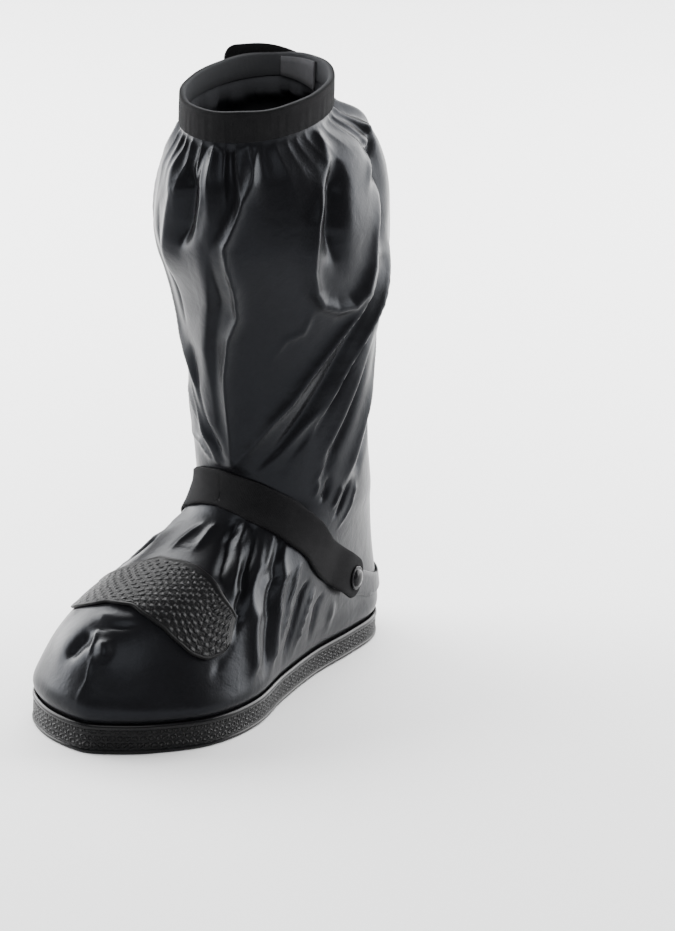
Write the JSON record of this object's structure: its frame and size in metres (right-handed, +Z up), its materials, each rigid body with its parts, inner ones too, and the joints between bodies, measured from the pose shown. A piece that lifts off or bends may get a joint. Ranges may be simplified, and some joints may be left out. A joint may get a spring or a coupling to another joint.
{
  "type": "shoe cover",
  "caption": "Calf-high waterproof overshoe of coated cloth on a rubber sole, with gathered elastic cuff, ankle strap, snaps and instep grip patch.",
  "frame": {"origin": "on the underside of the sole, below the axis of the leg", "axes": "+Z up the leg, the toe points along -Y, +X toward the inner (medial) side of the wearer's right foot"},
  "size_m": [0.136, 0.2959, 0.3862],
  "materials": {
    "sole_rubber": "black moulded rubber with a ribbed side and a treaded underside",
    "coated_cloth": "black waterproof cloth with a semi-gloss coating",
    "cuff_elastic": "matte black knitted elastic binding",
    "webbing": "matte black woven elastic webbing",
    "snap_plastic": "glossy black",
    "patch_rubber": "dark grey rubber embossed with a fine woven pattern"
  },
  "bodies": {
    "root": {"outsole": "sole_rubber", "upper": "coated_cloth", "cuff_band": "cuff_elastic", "closure_tab": "cuff_elastic", "closure_flap": "cuff_elastic", "ankle_strap": "webbing", "heel_band": "coated_cloth", "snap_stud_medial": "snap_plastic", "snap_stud_lateral": "snap_plastic", "snap_cap_medial": "snap_plastic", "snap_cap_lateral": "snap_plastic", "grip_patch": "patch_rubber"}
  },
  "joints": []
}
